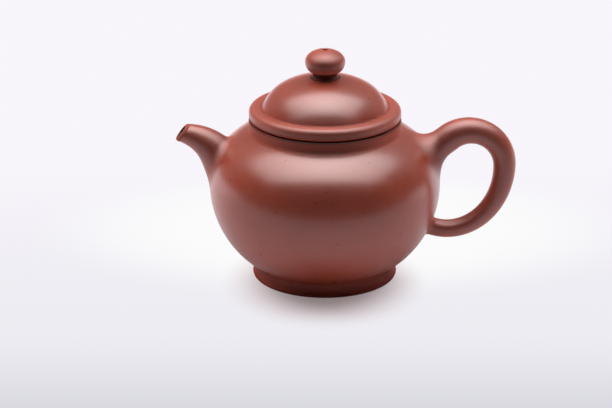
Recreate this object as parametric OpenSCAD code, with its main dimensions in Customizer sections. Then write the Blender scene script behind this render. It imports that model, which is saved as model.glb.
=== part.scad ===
/* [Foot] */
// Height of the foot ring, from the table to the floor slab
foot_h = 5.4; // [4:0.2:8]
// Outside radius of the foot ring
foot_r = 31.4; // [29:0.2:34]
// Width of the foot ring on the table
foot_w = 4.6; // [3:0.2:6]
// Height of the rounded standing edge of the foot
foot_edge = 1.2; // [0.6:0.1:2]

/* [Belly] */
// Outside radius of the waist, where the belly springs from the foot
waist_r = 29.9; // [28:0.1:31]
// Outside radius of the belly at its widest
belly_r = 50; // [45:0.5:56]
// Height of the widest level above the foot ring
belly_rise = 36.6; // [32:0.2:42]
// Height of the shoulder seat above the widest level
shoulder_rise = 23.6; // [21:0.2:27]
// Outside radius of the shoulder at the seat of the neck ring
seat_r = 33.9; // [32.5:0.1:36]
// Radius of the flat centre that the lower curve springs from, small for a round belly
lower_core = 8; // [2:0.5:14]
// Radius of the flat centre that the upper curve springs from, small for a sloping shoulder
upper_core = 21; // [14:0.5:23]
// Thickness of the beaten wall
wall_t = 3; // [2:0.1:4]
// Thickness of the floor slab
floor_t = 3; // [2:0.1:5]
// Thickness of the shoulder slab at the mouth
mouth_t = 2.5; // [1.5:0.1:4]
// Depth of the shoulder slab, from its seam with the wall to the seat
slab_rise = 4.6; // [3.5:0.1:6]

/* [Neck] */
// Height of the neck ring above the shoulder seat
neck_h = 5.7; // [4.5:0.1:8]
// Outside radius of the neck ring
neck_r = 32.9; // [32:0.1:35]
// Height of the cove that runs the neck ring out to the shoulder
neck_cove = 1.8; // [0.8:0.1:3]
// Radius of the mouth
mouth_r = 27; // [25:0.1:28.5]

/* [Lid] */
// Outside radius of the lid
lid_r = 32.8; // [32:0.1:35]
// Height of the lid's outside edge
lid_edge_h = 5.1; // [4.5:0.1:7]
// Rounding of the lid's top edge
lid_round = 2.5; // [1:0.1:3]
// Rounding of the lid's lower edge
lid_low_round = 1.3; // [0.5:0.1:2]
// Fall of the lid's top band from its rounded edge to the dome
lid_band_fall = 0.4; // [0.1:0.1:1]
// Rounding of the other edges of the lid and the neck ring
edge_round = 0.6; // [0.3:0.1:1]
// Width of the cove round the foot of the dome
dome_cove = 0.5; // [0.3:0.1:1.5]
// Radius of the dome above its cove
dome_r = 25.9; // [25:0.1:28]
// Height of the dome above the lid's top band
dome_h = 13.8; // [10:0.2:18]
// Thickness of the dome
dome_t = 2.8; // [2:0.1:3.5]
// Depth of the locating flange below the seat of the lid
flange_h = 7; // [5:0.2:10]
// Thickness of the locating flange
flange_t = 2.4; // [1.6:0.1:3]
// Radial clearance of the flange in the mouth
lid_clearance = 0.3; // [0.15:0.05:0.6]

/* [Knob] */
// Radius of the bead
knob_r = 8.6; // [7:0.1:11]
// Height of the bead above its widest level
knob_upper_h = 5.3; // [4:0.1:7]
// Height of the bead below its widest level
knob_lower_h = 4.6; // [3.5:0.1:7]
// Radius of the stem under the bead
stem_r = 5.3; // [3.5:0.1:6]
// Radius of the stem where it is luted to the dome
stem_foot_r = 6.6; // [6.2:0.1:9]
// Height of the stem
stem_h = 2.6; // [1:0.1:4]
// Radius of the steam vent
vent_r = 1.1; // [0.8:0.05:1.6]

/* [Spout] */
// Reach of the middle of the spout's mouth past the widest belly
spout_reach = 12.5; // [9:0.1:18]
// Depth of the middle of the spout's mouth below the rim
spout_drop = 7.1; // [4:0.1:10]
// Radius of the bend of the spout
spout_bend_r = 21.8; // [18:0.2:27]
// Slope of the spout at its mouth, in degrees
spout_mouth_slope = 5; // [0:1:15]
// Slope of the spout at its root, in degrees
spout_root_slope = 50; // [42:1:58]
// Tilt of the cut across the mouth against a square cut, in degrees
spout_cut = 26; // [0:1:32]
// Outside radius at the mouth of the spout
spout_tip_r = 3.75; // [3.2:0.05:5]
// Outside radius at the root of the spout
spout_root_r = 7.7; // [6.5:0.1:9]
// Wall thickness at the mouth of the spout
spout_lip_t = 1.4; // [0.7:0.05:1.8]
// Radius of the pour hole through the wall
pour_r = 5.2; // [3.5:0.1:5.8]
// Width of the skirt that runs the spout out over the belly
spout_skirt = 9; // [5:0.5:11]
// Width of that skirt along the top of the spout, where the root is tight
spout_top_skirt = 3; // [2:0.5:9]

/* [Strainer] */
// Outside radius of the ball strainer
strainer_r = 9; // [8:0.1:11]
// Thickness of the strainer
strainer_t = 1.6; // [1.2:0.1:2.2]
// Radius of a strainer hole
strainer_hole_r = 0.9; // [0.6:0.05:1.2]
// Rings of holes round the middle hole
strainer_rings = 2; // [1:1:2]

/* [Handle] */
// Distance from the widest belly to the middle of the handle at its outermost point
handle_reach = 27.9; // [22:0.1:34]
// Height of that outermost point above the widest belly
handle_far_rise = 7.5; // [3:0.1:12]
// Distance from the widest belly to the middle of the handle at its highest point
handle_top_out = 12.6; // [10:0.1:16]
// Depth of the middle of the handle at its highest point below the rim
handle_top_drop = 6; // [3:0.1:9]
// Distance from the widest belly to the middle of the handle at its lowest point
handle_low_out = 3.4; // [1:0.1:8]
// Depth of that lowest point below the widest belly
handle_low_drop = 21.9; // [18:0.1:25]
// Slope at which the handle leaves the shoulder, in degrees
handle_slope = 38; // [30:1:46]
// Radius of the bend that brings the handle level at its highest point
handle_bend_r = 14.5; // [11:0.1:18]
// Radius of the handle at the shoulder
handle_root_r = 6.1; // [5:0.1:7.5]
// Radius of the handle at its tail
handle_tail_r = 3.9; // [3:0.1:5]
// Width of the skirt that runs the handle out over the shoulder
handle_skirt = 9; // [5:0.5:11]
// Width of the skirt round the tail of the handle
tail_skirt = 3.5; // [2:0.5:5]

/* [Hidden] */
$fn = 96;
clay = "#a05a44";

// Levels, stacked up from the table
floor_z = foot_h + floor_t;
belly_z = foot_h + belly_rise;
seat_z = belly_z + shoulder_rise;
seam_z = seat_z - slab_rise;
rim_z = seat_z + neck_h;
lid_edge_z = rim_z + lid_edge_h;
dome_z = lid_edge_z - lid_band_fall;

// Half heights of the curves of the belly, so that they pass through the waist, the seat and the mouth
lower_b = belly_rise / sqrt(1 - pow((waist_r - lower_core) / (belly_r - lower_core), 2));
upper_b = shoulder_rise / sqrt(1 - pow((seat_r - upper_core) / (belly_r - upper_core), 2));
inside_r = belly_r - wall_t;
lower_in_b = lower_b - wall_t;
upper_in_b = (shoulder_rise - mouth_t) / sqrt(1 - pow((mouth_r - upper_core) / (inside_r - upper_core), 2));
curve_n = 12;
cove_n = 5;

// Lid and knob
flange_r = mouth_r - lid_clearance;
flange_in_r = flange_r - flange_t;
knob_seat_z = dome_z + dome_h * sqrt(1 - pow(stem_foot_r / dome_r, 2));
stem_z = knob_seat_z + stem_h;
knob_z = stem_z + knob_lower_h;
knob_n = 8;

// Spout, whose stations run in millimetres from the start of its bend to its mouth
spout_tip = [-belly_r - spout_reach, 0, rim_z - spout_drop];
spout_bend_at = spout_tip - spout_bend_r * [sin(spout_mouth_slope), 0, cos(spout_mouth_slope)];
spout_bend_l = spout_bend_r * (spout_root_slope - spout_mouth_slope) * PI / 180;
spout_lip_l = 0.7;
spout_lip_round = 0.5;
spout_root_l = 16;
spout_fillet_l = 7;
spout_sides = 24;
spout_rings = 11;
bore_sides = 16;
bore_rings = 12;

// Handle, whose stations run roughly in millimetres from the shoulder to the tail
handle_far = [belly_r + handle_reach, 0, belly_z + handle_far_rise];
handle_top = [belly_r + handle_top_out, 0, rim_z - handle_top_drop];
handle_low = [belly_r + handle_low_out, 0, belly_z - handle_low_drop];
handle_bend_at = handle_top - [0, 0, handle_bend_r];
handle_bend_l = handle_bend_r * handle_slope * PI / 180;
handle_over = [handle_far.x - handle_top.x, 0, handle_top.z - handle_far.z];
handle_under = [handle_far.x - handle_low.x, 0, handle_far.z - handle_low.z];
handle_over_l = (handle_over.x + handle_over.z) * PI / 4;
handle_under_l = (handle_under.x + handle_under.z) * PI / 4;
handle_tail_sweep = 45;
handle_tail_l = handle_under_l * handle_tail_sweep / 90;
handle_l = handle_bend_l + handle_over_l + handle_under_l;
handle_root_l = 22;
handle_fillet_l = 8;
tail_fillet_l = 3;
handle_taper = 1.4;
handle_sides = 20;
handle_rings = 34;

// Angle between the rings of holes in the strainer
strainer_pitch = 26;

// Skirts of the spout and the handle
skirt_rings = 4;
skirt_sink = 0.8;
skirt_top_z = seat_z - skirt_sink / 2;
solve_steps = 18;
station_step = 0.05;

function unit(v) = v / norm(v);
function mix(a, b, u) = a + (b - a) * u;
function bend(a, b, c, u) = mix(mix(a, b, u), mix(b, c, u), u);

// Radius of the outside and the inside of the pot at height z
function swell(z, r, core, b) = core + (r - core) * sqrt(max(0, 1 - pow((z - belly_z) / b, 2)));
function outer_r(z) =
    z < belly_z ? swell(z, belly_r, lower_core, lower_b) : swell(z, belly_r, upper_core, upper_b);
function inner_r(z) =
    z < belly_z ? swell(z, inside_r, lower_core, lower_in_b) : swell(z, inside_r, upper_core, upper_in_b);

// Outline of a belly curve from height z0 to height z1
function swell_points(r, core, b, z0, z1) = [
    for (i = [0:curve_n])
        let (a = mix(asin((z0 - belly_z) / b), asin((z1 - belly_z) / b), i / curve_n))
        [core + (r - core) * cos(a), belly_z + b * sin(a)]
];

// Quarter round from point a, where it runs level, to point b, where it runs upright
function cove_points(a, b) = [
    for (i = [0:cove_n])
        let (u = 90 * i / cove_n)
        [mix(a.x, b.x, sin(u)), mix(a.y, b.y, 1 - cos(u))]
];

// Quarter round from point a, where it runs upright, to point b, where it runs level
function edge_points(a, b) = [
    for (i = [0:cove_n])
        let (u = 90 * i / cove_n)
        [mix(a.x, b.x, 1 - cos(u)), mix(a.y, b.y, sin(u))]
];

// Height of a point over the belly, measured level, and the outward normal of the belly there
function above(p) = norm([p.x, p.y]) - outer_r(p.z);
function belly_normal(p) =
    let (
        slope = (outer_r(p.z + station_step) - outer_r(p.z - station_step)) / (2 * station_step),
        out = unit([p.x, p.y])
    )
    unit([out.x, out.y, -slope]);
function settle(p) = let (n = belly_normal(p)) p - n * above(p) * norm([n.x, n.y]);

// Middle line of the spout: straight out of the pot, then round a bend to the mouth
spout_line = function (s)
    let (a = spout_root_slope - max(0, s) / spout_bend_r * 180 / PI)
    spout_bend_at + spout_bend_r * [sin(a), 0, cos(a)] - min(0, s) * [cos(a), 0, -sin(a)];
spout_radius = function (s) mix(spout_root_r, spout_tip_r, max(0, s) / spout_bend_l);
bore_radius = function (s) mix(pour_r, spout_tip_r - spout_lip_t, max(0, min(1, s / spout_bend_l)));

// Middle line of the handle: straight off the shoulder, level at the top, round the loop and in at the tail
function oval(middle, size, a) = middle + [size.x * sin(a), 0, size.z * cos(a)];
handle_line = function (s)
    s < handle_bend_l ?
        oval(handle_bend_at, handle_bend_r * [1, 0, 1], handle_slope * (max(0, s) / handle_bend_l - 1))
        + min(0, s) * [cos(handle_slope), 0, sin(handle_slope)] :
    s < handle_bend_l + handle_over_l ?
        oval([handle_top.x, 0, handle_far.z], handle_over, 90 * (s - handle_bend_l) / handle_over_l) :
    oval(
        [handle_low.x, 0, handle_far.z], handle_under,
        90 + 90 * (s - handle_bend_l - handle_over_l) / handle_under_l
    );
handle_radius = function (s)
    mix(handle_tail_r, handle_root_r, pow(1 - max(0, min(1, s / handle_l)), handle_taper));

// Point on side a of a tube at station s
function tube_point(line, radius, a, s) =
    let (ahead = unit(line(s + station_step) - line(s - station_step)))
    line(s) + radius(s) * (cos(a) * [-ahead.z, 0, ahead.x] + sin(a) * [0, 1, 0]);

// Station where side a of a tube leaves the belly, between a buried and a free station
function leaves(line, radius, a, buried, free, steps = solve_steps) =
    let (middle = (buried + free) / 2)
    steps == 0 ? middle :
    above(tube_point(line, radius, a, middle)) < 0 ?
        leaves(line, radius, a, middle, free, steps - 1) :
        leaves(line, radius, a, buried, middle, steps - 1);

// Station where the middle of the pour hole comes through the inside of the wall
function enters(buried, free, steps = solve_steps) =
    let (middle = (buried + free) / 2, p = spout_line(middle))
    steps == 0 ? middle :
    -p.x < inner_r(p.z) ? enters(middle, free, steps - 1) : enters(buried, middle, steps - 1);

// Slope of the inside of the wall at height z, as a tilt from upright in degrees
function inside_tilt(z) = atan((inner_r(z - station_step) - inner_r(z + station_step)) / (2 * station_step));

// Edge of a skirt just under the belly, at a width out from its root
function skirt_edge(root, out, width) =
    let (edge = settle(root + width * out))
    edge - skirt_sink * belly_normal(edge);

// Width of a skirt, which ends below the seat of the neck ring
function skirt_width(root, out, low, high, steps = solve_steps) =
    let (middle = (low + high) / 2)
    steps == 0 || skirt_edge(root, out, high).z < skirt_top_z ? high :
    skirt_edge(root, out, middle).z < skirt_top_z ?
        skirt_width(root, out, middle, high, steps - 1) :
        skirt_width(root, out, low, middle, steps - 1);

// Share of a skirt's full width that it has on side a of the tube, given its width along the top
function skirt_share(a, spread, top) = mix(top / spread, 1, (1 + cos(a)) / 2);

// Rings of a skirt, from its edge just under the belly up to the tube, whose stations rise by rise
function skirt(line, radius, sides, buried, free, rise, spread, top) = [
    for (i = [0:skirt_rings - 1]) [
        for (j = [0:sides - 1])
            let (
                a = 360 * j / sides,
                share = skirt_share(a, spread, top),
                s = leaves(line, radius, a, buried, free),
                root = tube_point(line, radius, a, s),
                n = belly_normal(root),
                across = root - line(s),
                out = unit(across - n * (across * n)),
                edge = skirt_edge(root, out, skirt_width(root, out, 0, share * spread))
            )
            bend(edge, root, tube_point(line, radius, a, s + share * rise), i / skirt_rings)
    ]
];

// Closed solid through a list of rings
module rings_solid(rings, start, end) {
    n = len(rings[0]);
    last = len(rings) - 1;
    points = concat([for (ring = rings) each ring], [start, end]);
    sides = [
        for (i = [0:last - 1], j = [0:n - 1])
            let (k = (j + 1) % n, a = i * n, b = a + n)
            each [[a + j, a + k, b + k], [a + j, b + k, b + j]]
    ];
    start_cap = [for (j = [0:n - 1]) [len(points) - 2, (j + 1) % n, j]];
    end_cap = [for (j = [0:n - 1]) [len(points) - 1, last * n + j, last * n + (j + 1) % n]];
    polyhedron(points, concat(sides, start_cap, end_cap), convexity = 6);
}

// Half section of the pot's body without its openings
module outer_section() {
    polygon(concat(
        [[0, foot_h]],
        swell_points(belly_r, lower_core, lower_b, foot_h, belly_z),
        [for (p = swell_points(belly_r, upper_core, upper_b, belly_z, seat_z)) if (p.y > belly_z) p],
        [[0, seat_z]]
    ));
}

// Half section of the hollow of the pot
module hollow_section() {
    polygon(concat(
        [[0, floor_z]],
        swell_points(inside_r, lower_core, lower_in_b, floor_z, belly_z),
        [
            for (p = swell_points(inside_r, upper_core, upper_in_b, belly_z, seat_z - mouth_t))
                if (p.y > belly_z) p
        ],
        [[mouth_r, rim_z], [0, rim_z]]
    ));
}

// Half plane between two heights
module band(z0, z1) {
    translate([0, z0])
        square([2 * belly_r, z1 - z0]);
}

module spout_bore() {
    rings_solid(
        [
            for (i = [0:bore_rings])
                let (s = mix(-spout_root_l, spout_bend_l + 2 * spout_tip_r, i / bore_rings))
                [for (j = [0:bore_sides - 1]) tube_point(spout_line, bore_radius, 360 * j / bore_sides, s)]
        ],
        spout_line(-spout_root_l), spout_line(spout_bend_l + 2 * spout_tip_r)
    );
}

module foot_ring() {
    color(clay)
        rotate_extrude()
            polygon(concat(
                [[foot_r - foot_w, foot_h], [foot_r - foot_w, 0], [foot_r - foot_edge / 2, 0]],
                cove_points([foot_r, foot_edge], [waist_r, foot_h])
            ));
}

module base_slab() {
    color(clay)
        rotate_extrude()
            intersection() {
                outer_section();
                band(foot_h, floor_z);
            }
}

// Wall of the pot between two heights, with the pour hole through it
module wall(z0, z1) {
    difference() {
        rotate_extrude()
            intersection() {
                difference() {
                    outer_section();
                    hollow_section();
                }
                band(z0, z1);
            }
        translate(spout_line(0))
            rotate([0, 90 + spout_root_slope, 0])
                cylinder(r = pour_r, h = spout_root_l);
    }
}

module lower_wall() {
    color(clay)
        wall(floor_z, belly_z);
}

module upper_wall() {
    color(clay)
        wall(belly_z, seam_z);
}

module shoulder_slab() {
    color(clay)
        wall(seam_z, seat_z);
}

module neck_ring() {
    color(clay)
        rotate_extrude()
            polygon(concat(
                [[mouth_r, rim_z], [mouth_r, seat_z]],
                cove_points([seat_r, seat_z], [neck_r, seat_z + neck_cove]),
                [[neck_r, rim_z - edge_round], [neck_r - edge_round, rim_z]]
            ));
}

module spout() {
    // Station of the slanting cut on each side
    ends = [
        for (j = [0:spout_sides - 1])
            spout_bend_l + spout_tip_r * tan(spout_cut) * cos(360 * j / spout_sides)
    ];
    tube = [
        for (i = [0:spout_rings])
            [
                for (j = [0:spout_sides - 1])
                    let (
                        a = 360 * j / spout_sides,
                        rise = spout_fillet_l * skirt_share(a, spout_skirt, spout_top_skirt),
                        s = leaves(spout_line, spout_radius, a, -spout_root_l, spout_bend_l) + rise
                    )
                    tube_point(spout_line, spout_radius, a, mix(s, ends[j] - spout_lip_l, i / spout_rings))
            ]
    ];
    lip = [
        for (j = [0:spout_sides - 1])
            mix(
                tube_point(spout_line, spout_radius, 360 * j / spout_sides, ends[j]),
                spout_line(ends[j]), spout_lip_round / spout_tip_r
            )
    ];
    color(clay)
        difference() {
            rings_solid(
                concat(
                    skirt(
                        spout_line, spout_radius, spout_sides, -spout_root_l, spout_bend_l,
                        spout_fillet_l, spout_skirt, spout_top_skirt
                    ),
                    tube, [lip]
                ),
                spout_line(-spout_root_l), spout_line(spout_bend_l)
            );
            rotate_extrude()
                outer_section();
            spout_bore();
        }
}

module strainer() {
    // The ball sits where the middle of the pour hole comes through the inside of the wall
    at = spout_line(enters(-spout_root_l, 0));
    color(clay)
        difference() {
            intersection() {
                rotate_extrude()
                    intersection() {
                        hollow_section();
                        band(at.z - 2 * strainer_r, at.z + 2 * strainer_r);
                    }
                translate(at)
                    difference() {
                        sphere(r = strainer_r);
                        sphere(r = strainer_r - strainer_t);
                    }
            }
            translate(at)
                rotate([0, 90 + inside_tilt(at.z), 0])
                    for (ring = [0:strainer_rings], k = [0:max(0, 6 * ring - 1)])
                        rotate([0, strainer_pitch * ring, 60 * k / max(1, ring)])
                            translate([0, 0, strainer_r - 2 * strainer_t])
                                cylinder(r = strainer_hole_r, h = 3 * strainer_t);
        }
}

module handle() {
    tail_s = handle_l + handle_tail_l;
    stations = [
        for (j = [0:handle_sides - 1])
            let (a = 360 * j / handle_sides)
            [
                leaves(handle_line, handle_radius, a, -handle_root_l, handle_bend_l) + handle_fillet_l,
                leaves(handle_line, handle_radius, a, tail_s, handle_l - handle_under_l) - tail_fillet_l
            ]
    ];
    loop = [
        for (i = [0:handle_rings])
            [
                for (j = [0:handle_sides - 1])
                    tube_point(
                        handle_line, handle_radius, 360 * j / handle_sides,
                        mix(stations[j][0], stations[j][1], i / handle_rings)
                    )
            ]
    ];
    root = skirt(
        handle_line, handle_radius, handle_sides, -handle_root_l, handle_bend_l,
        handle_fillet_l, handle_skirt, handle_skirt
    );
    tail = skirt(
        handle_line, handle_radius, handle_sides, tail_s, handle_l - handle_under_l,
        -tail_fillet_l, tail_skirt, tail_skirt
    );
    color(clay)
        difference() {
            rings_solid(
                concat(root, loop, [for (i = [skirt_rings - 1:-1:0]) tail[i]]),
                handle_line(-handle_root_l), handle_line(tail_s)
            );
            rotate_extrude()
                outer_section();
        }
}

module lid_rim() {
    color(clay)
        rotate_extrude()
            polygon(concat(
                [[flange_in_r, rim_z]],
                cove_points([lid_r - lid_low_round, rim_z], [lid_r, rim_z + lid_low_round]),
                edge_points([lid_r, lid_edge_z - lid_round], [lid_r - lid_round, lid_edge_z]),
                [[dome_r + dome_cove, dome_z], [flange_in_r, dome_z]]
            ));
}

module lid_flange() {
    color(clay)
        rotate_extrude()
            polygon([
                [flange_in_r, rim_z], [flange_in_r, rim_z - flange_h],
                [flange_r - edge_round, rim_z - flange_h], [flange_r, rim_z - flange_h + edge_round],
                [flange_r, rim_z]
            ]);
}

module lid_dome() {
    top_a = asin((knob_seat_z - dome_z) / dome_h);
    cove_a = asin(dome_cove / dome_h);
    in_r = dome_r - dome_t;
    in_h = dome_h - dome_t;
    color(clay)
        rotate_extrude()
            polygon(concat(
                cove_points([dome_r + dome_cove, dome_z], [dome_r * cos(cove_a), dome_z + dome_cove]),
                [
                    for (i = [1:curve_n])
                        let (a = mix(cove_a, top_a, i / curve_n))
                        [dome_r * cos(a), dome_z + dome_h * sin(a)]
                ],
                [[vent_r, knob_seat_z]],
                [
                    for (i = [curve_n:-1:0])
                        let (a = acos(vent_r / in_r) * i / curve_n)
                        [in_r * cos(a), dome_z + in_h * sin(a)]
                ]
            ));
}

module knob() {
    color(clay)
        rotate_extrude()
            polygon(concat(
                [[vent_r, knob_seat_z]],
                cove_points([stem_foot_r, knob_seat_z], [stem_r, stem_z]),
                [
                    for (i = [1:knob_n])
                        let (a = 90 - 90 * i / knob_n)
                        [mix(stem_r, knob_r, cos(a)), knob_z - knob_lower_h * sin(a)]
                ],
                [
                    for (i = [1:knob_n])
                        let (a = acos(vent_r / knob_r) * i / knob_n)
                        [knob_r * cos(a), knob_z + knob_upper_h * sin(a)]
                ]
            ));
}

foot_ring();
base_slab();
lower_wall();
upper_wall();
shoulder_slab();
neck_ring();
spout();
strainer();
handle();
lid_rim();
lid_flange();
lid_dome();
knob();
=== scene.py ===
"""Looks of a small unglazed clay teapot with a lift-off lid.

Lengths are millimetres, angles are degrees and colours are scene-linear. A mesh is scaled to metres
when it is made. A half section is a list of (radius, height) points, and a turned piece is a half
section carried round the Z axis.
"""

import logging
import math
from dataclasses import dataclass
from enum import Enum
from typing import Any, Callable, Mapping, Optional, Sequence, Union

import bmesh
import bpy
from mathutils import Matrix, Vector


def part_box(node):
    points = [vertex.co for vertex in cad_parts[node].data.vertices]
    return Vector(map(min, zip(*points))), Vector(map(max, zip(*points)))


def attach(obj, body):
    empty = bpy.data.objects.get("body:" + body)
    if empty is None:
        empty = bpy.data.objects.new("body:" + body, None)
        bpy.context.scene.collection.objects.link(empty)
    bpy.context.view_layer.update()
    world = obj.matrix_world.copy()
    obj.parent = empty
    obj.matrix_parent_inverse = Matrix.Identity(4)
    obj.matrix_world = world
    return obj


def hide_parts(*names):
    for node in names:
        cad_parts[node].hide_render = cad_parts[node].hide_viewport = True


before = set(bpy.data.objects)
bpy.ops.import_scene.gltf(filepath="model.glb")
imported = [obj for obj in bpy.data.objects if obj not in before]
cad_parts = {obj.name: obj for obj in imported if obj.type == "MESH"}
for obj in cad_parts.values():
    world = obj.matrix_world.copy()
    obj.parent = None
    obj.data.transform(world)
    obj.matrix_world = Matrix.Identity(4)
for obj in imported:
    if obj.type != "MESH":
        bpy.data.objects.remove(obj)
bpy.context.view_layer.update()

LOG = logging.getLogger("teapot")
# Metres in a millimetre
MM = 0.001
# Sides of a turned piece
TURNS = 192
# Faces along a run of a half section
RUN_STEPS = 16
# Halvings of the stretch in which a limb comes out of the belly
SOLVE_STEPS = 40
# Steps that bring a point down onto the belly
SETTLE_STEPS = 6
# Length over which a slope is measured
STATION_STEP = 0.01
# Share of a skirt's rise over which the limb's slope is measured
TANGENT_SHARE = 0.01
# Share of a skirt's legs at which its curve's pulls stand
PULL_SHARE = 2 / 3
# Angle between faces from which their edge shows
CRISP_ANGLE = 32.0
# Value that a noise varies round
NOISE_MIDDLE = 0.5
# Length that counts as none
TINY = 1e-6

Colour = tuple[float, float, float]
Point2 = tuple[float, float]
Point3 = tuple[float, float, float]
Curve = Callable[[float], Point2]


class Body(Enum):
    """The two bodies that move apart."""

    POT = "pot"
    LID = "lid"


class Slot(Enum):
    """The record's material slots."""

    POT = "pot_clay"
    LID = "lid_clay"


class Finish(Enum):
    """How a stretch of clay was worked."""

    BURNISHED = "burnished_clay"
    HANDLED = "handled_clay"
    TOOLED = "tooled_clay"
    SCRAPED = "scraped_clay"
    STANDING = "standing_clay"
    # Painted shade: clay darkened where the knob's stem, the slit under the lid and the spout's bore lie
    # in shade
    STAINED = "stained_clay"
    LUTED = "luted_clay"


class Value:
    """One output of a node, which Python expressions use as a number."""

    def __init__(self, graph: "Graph", socket: bpy.types.NodeSocket) -> None:
        """Keeps the graph that the socket belongs to."""
        self.graph = graph
        self.socket = socket

    def output(self, name: str) -> "Value":
        """Gives another output of the same node."""
        return Value(self.graph, self.socket.node.outputs[name])

    def _math(self, operation: str, first: "Number", second: "Number") -> "Value":
        """Adds one Math node."""
        return self.graph.node("ShaderNodeMath", {"operation": operation}, {0: first, 1: second})

    def __add__(self, other: "Number") -> "Value":
        """Adds a number or another value."""
        return self._math("ADD", self, other)

    def __radd__(self, other: "Number") -> "Value":
        """Adds this value to a number."""
        return self._math("ADD", other, self)

    def __sub__(self, other: "Number") -> "Value":
        """Takes a number or another value away."""
        return self._math("SUBTRACT", self, other)

    def __rsub__(self, other: "Number") -> "Value":
        """Takes this value away from a number."""
        return self._math("SUBTRACT", other, self)

    def __mul__(self, other: "Number") -> "Value":
        """Multiplies by a number or another value."""
        return self._math("MULTIPLY", self, other)

    def __rmul__(self, other: "Number") -> "Value":
        """Multiplies a number by this value."""
        return self._math("MULTIPLY", other, self)

    def rises(self, low: float, high: float) -> "Value":
        """Runs smoothly from 0 at one value to 1 at another, which may be the lower of the two."""
        sockets = {"Value": self, "From Min": low, "From Max": high}
        return self.graph.node("ShaderNodeMapRange", {"interpolation_type": "SMOOTHSTEP"}, sockets)


Number = Union[Value, float]


class Graph:
    """Node tree of a material or of the world."""

    # Numbers of the Mix node's colour sockets
    MIX_SHARE = 0
    MIX_FIRST = 6
    MIX_SECOND = 7
    MIX_RESULT = 2

    def __init__(self, tree: bpy.types.NodeTree) -> None:
        """Empties the tree."""
        tree.nodes.clear()
        self.tree = tree

    def node(
        self,
        kind: str,
        settings: Optional[Mapping[str, Any]] = None,
        sockets: Optional[Mapping[Union[str, int], Any]] = None,
        output: Union[str, int] = 0,
    ) -> Value:
        """Adds a node.

        Args:
            kind: Blender's name of the node's type.
            settings: The node's own settings, which are set first.
            sockets: Values or links of its inputs, by name or by number.
            output: The output that the result stands for.

        Returns:
            That output, ready for expressions.
        """
        made = self.tree.nodes.new(kind)
        for name, setting in (settings or {}).items():
            setattr(made, name, setting)
        for name, given in (sockets or {}).items():
            if isinstance(given, Value):
                self.tree.links.new(given.socket, made.inputs[name])
            else:
                made.inputs[name].default_value = given
        if not made.outputs:
            return Value(self, made.inputs[0])
        return Value(self, made.outputs[output])

    def mix(self, share: Number, first: Any, second: Any) -> Value:
        """Mixes two colours by a share of the second."""
        sockets = {self.MIX_SHARE: share, self.MIX_FIRST: _opaque(first), self.MIX_SECOND: _opaque(second)}
        return self.node("ShaderNodeMix", {"data_type": "RGBA"}, sockets, self.MIX_RESULT)

    def noise(self, place: Value, size: float, detail: float = 2.0) -> Value:
        """Noise at a position, round its middle value, in lumps of one size with finer layers on top."""
        sockets = {"Vector": place, "Scale": 1 / (size * MM), "Detail": detail}
        return self.node("ShaderNodeTexNoise", None, sockets)

    def scaled(self, colour: Value, level: Number) -> Value:
        """Makes a colour brighter or darker."""
        return self.node("ShaderNodeVectorMath", {"operation": "SCALE"}, {0: colour, "Scale": level})

    def distance(self, place: Value, middle: Point3) -> Value:
        """Distance of a position from a point, in metres."""
        sockets = {0: place, 1: Vector(middle) * MM}
        return self.node("ShaderNodeVectorMath", {"operation": "DISTANCE"}, sockets, "Value")

    def stretched(self, place: Value, stretch: Point3) -> Value:
        """Position with each axis scaled."""
        return self.node("ShaderNodeVectorMath", {"operation": "MULTIPLY"}, {0: place, 1: stretch})

    def attribute(self, name: str) -> Value:
        """Number that the mesh holds for each of its points."""
        return self.node("ShaderNodeAttribute", {"attribute_name": name}).output("Fac")


def _opaque(colour: Any) -> Any:
    """Adds the fourth channel that a colour socket takes, and leaves a link as it is."""
    return colour if isinstance(colour, Value) else (*colour, 1.0)


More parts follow.
